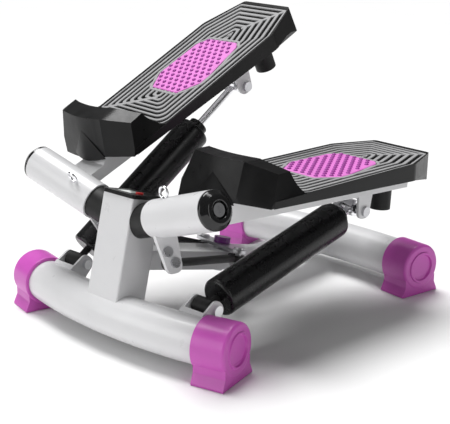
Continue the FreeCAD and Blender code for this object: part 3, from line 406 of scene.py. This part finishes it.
def guard_ring(foot, front, rear, end_v, u):
    """Section of the guard: foot, knee, top band, hollowed rear slope, and a base inside the cover."""
    low = (u, end_v, 0.0)
    ring = [foot, guard_knee(foot, front), front, rear]
    bend = (rear[0] + (u - rear[0]) * 0.62, rear[1] + (end_v - rear[1]) * 0.42, rear[2] * 0.16)
    for t in (0.2, 0.4, 0.6, 0.8):
        ring.append(tuple(a * (1 - t) ** 2 + 2 * b * t * (1 - t) + c * t ** 2
                          for a, b, c in zip(rear, bend, low)))
    return ring + [low, (u, end_v + 2.0, -4.0), (u, -20, -6.0)]


def add_guard(mesh):
    """Closed block of the guard: front face, top band, hollowed rear face and a flat base."""
    rings = []
    # The left end wraps round a soft vertical corner onto the side of the pedal.
    wrap = [((GUARD_END, -36, -7.3), (-54.8, -32, GUARD_TOP), (-54.8, -18.5, GUARD_TOP), 15.0),
            ((GUARD_END, -48, -9.0), (-54.6, -37, GUARD_TOP), (-54.4, -19.0, GUARD_TOP), 14.5),
            ((GUARD_END + 0.6, -54, -15.0), (-54, -40.5, GUARD_TOP), (-53.8, -19.5, GUARD_TOP), 14.0)]
    for step, column in enumerate(wrap):
        rings.append(guard_ring(*column, GUARD_END + WRAP_STEP * step))
    for column in guard_columns():
        rings.append(guard_ring(*column, min(-GUARD_END, column[0][0])))
    rings = [[mesh.verts.new(point) for point in ring] for ring in rings]
    for left, right in zip(rings, rings[1:]):
        count = len(left)
        for i in range(count):
            j = (i + 1) % count
            mesh.faces.new((left[i], right[i], right[j], left[j]))
    mesh.faces.new(rings[0])
    mesh.faces.new(reversed(rings[-1]))
    bmesh.ops.recalc_face_normals(mesh, faces=mesh.faces)
    bmesh.ops.triangulate(mesh, faces=mesh.faces[:])


def add_hood(mesh):
    """Half cone that clears the arm's weld, standing out of the lower part of the guard's curved face."""
    feet = 12
    base = []
    for step in range(feet + 1):
        t = step / feet
        swell = math.sin(math.pi * t)
        base.append(mesh.verts.new((-43 + 72 * t, -57.5 - 9 * swell, -13 - 1.5 * swell + 5 * t)))
    tip = mesh.verts.new(HOOD_APEX)
    back = mesh.verts.new((-8.0, -46.0, -12.0))
    for a, b in zip(base, base[1:]):
        mesh.faces.new((a, b, tip))
        mesh.faces.new((b, a, back))
    mesh.faces.new((tip, back, base[0]))
    mesh.faces.new((back, tip, base[-1]))


def as_object(name, mesh_data):
    mesh = bpy.data.meshes.new(name)
    bmesh.ops.recalc_face_normals(mesh_data, faces=mesh_data.faces)
    mesh_data.to_mesh(mesh)
    mesh_data.free()
    item = bpy.data.objects.new(name, mesh)
    bpy.context.scene.collection.objects.link(item)
    return item


def combine(base, other, operation):
    """Boolean of two closed meshes, applied, with the second one used up."""
    step = base.modifiers.new("combine", "BOOLEAN")
    step.operation = operation
    step.solver = "EXACT"
    step.object = other
    graph = bpy.context.evaluated_depsgraph_get()
    result = bpy.data.meshes.new_from_object(base.evaluated_get(graph))
    base.modifiers.clear()
    base.data = result
    bpy.data.objects.remove(other)
    return base


def pedal_cover_mesh():
    """The moulded cover in the pedal's frame, in millimetres."""
    solid = bmesh.new()
    add_prism(solid, split_long(cover_outline(0.0)), skirt_line, RIM)
    cover = as_object("cover_work", solid)

    hollow = bmesh.new()
    add_prism(hollow, split_long(cover_outline(WALL)), lambda u, v: skirt_line(u, v) - 30, UNDER_DECK)
    combine(cover, as_object("hollow_work", hollow), "DIFFERENCE")

    guard = bmesh.new()
    add_guard(guard)
    combine(cover, as_object("guard_work", guard), "UNION")
    hood = bmesh.new()
    add_hood(hood)
    combine(cover, as_object("hood_work", hood), "UNION")

    recess = bmesh.new()
    add_prism(recess, inset_outline(MAT_FIT), MAT_BED, 4.0)
    combine(cover, as_object("recess_work", recess), "DIFFERENCE")

    for position in RIB_PLACES:
        rib = bmesh.new()
        half = RIB_LONG if position < STRAIGHT else RIB_SHORT
        outline = [(-half, position), (half, position), (half, position + RIB_THICK),
                   (-half, position + RIB_THICK)]
        add_prism(rib, outline, -11, -5)
        combine(cover, as_object("rib_work", rib), "UNION")
    return cover


# ---------------------------------------------------------------- tread

def inset_outline(level):
    """Nested tread line: each side of the mat moves in at its own pitch, and the front right one turns."""
    narrow = REAR_HALF + 0.6
    corners = [(-MAT_SIDE, MAT_FRONT), (MAT_SIDE, MAT_FRONT), (MAT_SIDE, MAT_BEND), (narrow, MAT_REAR),
               (-narrow, MAT_REAR), (-MAT_SIDE, MAT_BEND)]
    lines = []
    for i, corner in enumerate(corners):
        here, there = Vector(corner), Vector(corners[(i + 1) % len(corners)])
        along = (there - here).normalized()
        inward = Vector((-along.y, along.x))
        lines.append((here + inward * RIDGE_PITCH[i] * level, along))
    result = []
    for i in range(len(lines)):
        (p, d), (q, e) = lines[i - 1], lines[i]
        cross = d.x * e.y - d.y * e.x
        reach = ((q - p).x * e.y - (q - p).y * e.x) / cross
        result.append(tuple(p + d * reach))
    turn = max(2.0, 15.0 - 1.6 * level)
    return rounded(result, (4, turn, 3, 3, 3, 3), 5)


def offset_ring(outline, reach):
    """Outline moved outward by `reach`, corner by corner."""
    result = []
    count = len(outline)
    for i in range(count):
        a, b, c = Vector(outline[i - 1]), Vector(outline[i]), Vector(outline[(i + 1) % count])
        d, e = (b - a).normalized(), (c - b).normalized()
        first, second = Vector((d.y, -d.x)), Vector((e.y, -e.x))
        middle = (first + second).normalized()
        result.append(tuple(b + middle * (reach / max(0.3, middle.dot(first)))))
    return result


def add_band(mesh, outer, inner, low, high, chamfer=0.5):
    """Raised closed band between two outlines with the same number of points, with softened top edges."""
    count = len(outer)
    rows = []
    for i in range(count):
        width = max(0.01, math.dist(outer[i], inner[i]))
        t = min(0.45, chamfer / width)
        profile = [(0.0, low), (0.0, high - chamfer * 0.7), (t, high), (1 - t, high),
                   (1.0, high - chamfer * 0.7), (1.0, low)]
        rows.append([mesh.verts.new((*between(outer[i], inner[i], share), height))
                     for share, height in profile])
    for i in range(count):
        here, there = rows[i], rows[(i + 1) % count]
        size = len(here)
        for k in range(size):
            m = (k + 1) % size
            mesh.faces.new((here[k], there[k], there[m], here[m]))


def add_bar(mesh, start, end, half, low, high):
    """Flat-topped bar from start to end."""
    a, b = Vector(start), Vector(end)
    side = Vector((-(b - a).y, (b - a).x)).normalized() * half
    add_prism(mesh, [tuple(a + side), tuple(a - side), tuple(b - side), tuple(b + side)], low, high)


def tread_ridges_mesh():
    """Nested ridges, the mitre bars where their ends stagger, and the raised ring round the pad."""
    mesh = bmesh.new()
    add_band(mesh, inset_outline(0.0), inset_outline(0.32), TREAD_FLOOR, 0.1, 0.5)
    for level in range(1, RIDGE_COUNT):
        add_band(mesh, inset_outline(level - 0.12), inset_outline(level + 0.36), TREAD_FLOOR, 0.0)
    add_band(mesh, offset_ring(pad_outline(), PAD_GAP + PAD_RING), offset_ring(pad_outline(), PAD_GAP),
             TREAD_FLOOR, 0.4)
    front_left = (-MAT_SIDE + 3, MAT_FRONT + 1)
    rear_right = (REAR_HALF - 1, LENGTH - 9)
    for corner, centre in zip((front_left, rear_right), MITRE_CENTRES):
        add_bar(mesh, corner, centre, MITRE_HALF, TREAD_FLOOR, -0.05)
    return mesh


def pad_outline():
    return rounded(PAD_CORNERS, (PAD_CORNER,) * len(PAD_CORNERS), 4)


def nub_places():
    """Staggered rows that fill the pad's outline."""
    places = []
    inner = [Vector(p) for p in offset_ring(pad_outline(), -NUB_INSET)]
    for row in range(15):
        v = NUB_START[1] + NUB_PITCH[1] * row
        shift = NUB_START[0] + NUB_PITCH[0] / 2 * (row % 2)
        for column in range(-4, 8):
            u = shift + NUB_PITCH[0] * column
            if inside(inner, u, v):
                places.append((u, v))
    return places


def inside(outline, u, v):
    """Whether a ray from the point crosses the outline an odd number of times."""
    crossings = False
    for i, here in enumerate(outline):
        before = outline[i - 1]
        if (here.y > v) != (before.y > v):
            if u < (before.x - here.x) * (v - here.y) / (before.y - here.y) + here.x:
                crossings = not crossings
    return crossings


def add_nub(mesh, u, v, base, radius, height):
    """Rounded stud: rings of a squashed dome."""
    rings = []
    around = 10
    for level in range(4):
        angle = math.pi / 2 * level / 4
        reach = radius * math.cos(angle)
        turns = [2 * math.pi * k / around for k in range(around)]
        rings.append([mesh.verts.new((u + reach * math.cos(turn), v + reach * math.sin(turn),
                                      base + height * math.sin(angle))) for turn in turns])
    tip = mesh.verts.new((u, v, base + height))
    for low, high in zip(rings, rings[1:]):
        for k in range(around):
            m = (k + 1) % around
            mesh.faces.new((low[k], low[m], high[m], high[k]))
    for k in range(around):
        mesh.faces.new((rings[-1][k], rings[-1][(k + 1) % around], tip))
    mesh.faces.new(list(reversed(rings[0])))


def build_pedal(side):
    """Cover, tread and pad of one pedal, each in place of its plainer CAD node."""
    body = side + "_pedal"
    place = pedal_frame(side)
    work = pedal_cover_mesh()
    shape = bmesh.new()
    shape.from_mesh(work.data)
    bpy.data.objects.remove(work)
    bmesh.ops.remove_doubles(shape, verts=shape.verts, dist=0.02)
    bmesh.ops.dissolve_limit(shape, angle_limit=math.radians(0.6), verts=shape.verts, edges=shape.edges)
    cover = piece(side + "_pedal_cover", shape, FINISH["shell_black"], body, place)
    smooth(cover, COVER_SMOOTH)
    soften(cover, COVER_BEVEL)
    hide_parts(side + "_pedal_shell")

    # Near-black floor under the grey ridges, which darkens the grooves.
    floor = bmesh.new()
    add_prism(floor, inset_outline(0.02), MAT_BED + 0.05, TREAD_FLOOR + 0.15)
    piece(side + "_tread_floor", floor, GROOVE_FLOOR_DARKENED, body, place)

    ridges = piece(side + "_tread_ridges", tread_ridges_mesh(), FINISH["tread_grey"], body,
                   place)
    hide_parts(side + "_tread_mat")

    plate = bmesh.new()
    add_pad_plate(plate)
    pad = piece(side + "_pad_plate", plate, FINISH["pad_pink"], body, place)
    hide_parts(side + "_massage_pad")
    nubs = bmesh.new()
    for u, v in nub_places():
        add_nub(nubs, u, v, NUB_BASE, NUB_RADIUS, NUB_HEIGHT)
    dots = piece(side + "_pad_nubs", nubs, NUB_PURPLE, body, place)
    smooth(dots, 60)


def add_pad_plate(mesh):
    """The pad's plate, a closed slab with a softened top edge."""
    outline = pad_outline()
    shrunk = offset_ring(outline, -1.0)
    low = [mesh.verts.new((*p, PAD_FOOT)) for p in outline]
    edge = [mesh.verts.new((*p, PAD_EDGE)) for p in outline]
    top = [mesh.verts.new((*p, PAD_TOP)) for p in shrunk]
    count = len(outline)
    mesh.faces.new(list(reversed(low)))
    mesh.faces.new(top)
    for i in range(count):
        j = (i + 1) % count
        mesh.faces.new((low[i], low[j], edge[j], edge[i]))
        mesh.faces.new((edge[i], edge[j], top[j], top[i]))


# ---------------------------------------------------------------- studio

def area_light(name, place, aim, size, power):
    data = bpy.data.lights.new(name, "AREA")
    data.shape = "RECTANGLE"
    data.size, data.size_y = size
    data.energy = power
    item = bpy.data.objects.new(name, data)
    bpy.context.scene.collection.objects.link(item)
    item.location = place
    item.rotation_euler = (Vector(aim) - Vector(place)).to_track_quat("-Z", "Y").to_euler()


def air():
    """Even pale air that lights the shadows, seen by the camera as plain white."""
    world = bpy.data.worlds.new("studio_air")
    world.use_nodes = True
    tree = world.node_tree
    seen = tree.nodes.new("ShaderNodeLightPath")
    strength = tree.nodes.new("ShaderNodeMapRange")
    strength.inputs["To Min"].default_value = AIR_LIGHT
    strength.inputs["To Max"].default_value = 1.0
    tree.links.new(seen.outputs["Is Camera Ray"], strength.inputs["Value"])
    backdrop = tree.nodes["Background"]
    backdrop.inputs["Color"].default_value = (1, 1, 1, 1)
    tree.links.new(strength.outputs["Result"], backdrop.inputs["Strength"])
    bpy.context.scene.world = world


def sun(direction, strength, spread):
    """Soft key light that comes from a direction; its spread in degrees softens the shadow."""
    data = bpy.data.lights.new("key_sun", "SUN")
    data.energy = strength
    data.angle = math.radians(spread)
    item = bpy.data.objects.new("key_sun", data)
    bpy.context.scene.collection.objects.link(item)
    item.location = Vector(direction) * 2
    item.rotation_euler = (-Vector(direction)).to_track_quat("-Z", "Y").to_euler()


def studio():
    """White air, a high soft key, a front box, a side strip and a pale floor."""
    air()
    bpy.context.scene.view_settings.view_transform = "Standard"
    sun(SUN_FROM, SUN_STRENGTH, SUN_SPREAD)
    area_light("front_box", (-0.8, -2.2, 0.9), (0, 0, 0.12), (2.0, 1.2), 17)
    area_light("side_strip", (2.2, -0.6, 0.8), (0, 0, 0.15), (0.5, 1.8), 7)

    ground = bmesh.new()
    signs = ((-1, -1), (1, -1), (1, 1), (-1, 1))
    ground.faces.new([ground.verts.new((x * FLOOR_REACH, y * FLOOR_REACH, FLOOR_DROP))
                      for x, y in signs])
    mesh = bpy.data.meshes.new("studio_floor")
    ground.to_mesh(mesh)
    ground.free()
    mesh.materials.append(surface("floor_pale_paper", (0.92, 0.92, 0.92), 0.8, 0.01, cloud=2, grain=300,
                                  bump=0.02, specular=0.1))
    floor = bpy.data.objects.new("studio_floor", mesh)
    bpy.context.scene.collection.objects.link(floor)


def camera():
    """Camera at the machine's front right, a little above it."""
    data = bpy.data.cameras.new("photo_view")
    data.sensor_width = SENSOR
    data.lens = LENS
    data.clip_start = 0.01
    item = bpy.data.objects.new("photo_view", data)
    bpy.context.scene.collection.objects.link(item)
    item.location = CAMERA_PLACE
    yaw, pitch = math.radians(CAMERA_YAW), math.radians(CAMERA_PITCH)
    aim = Vector((-math.sin(yaw) * math.cos(pitch), math.cos(yaw) * math.cos(pitch), -math.sin(pitch)))
    item.rotation_euler = aim.to_track_quat("-Z", "Y").to_euler()
    bpy.context.scene.camera = item


dress_frame()
for side in SIDES:
    build_pedal(side)
studio()
camera()
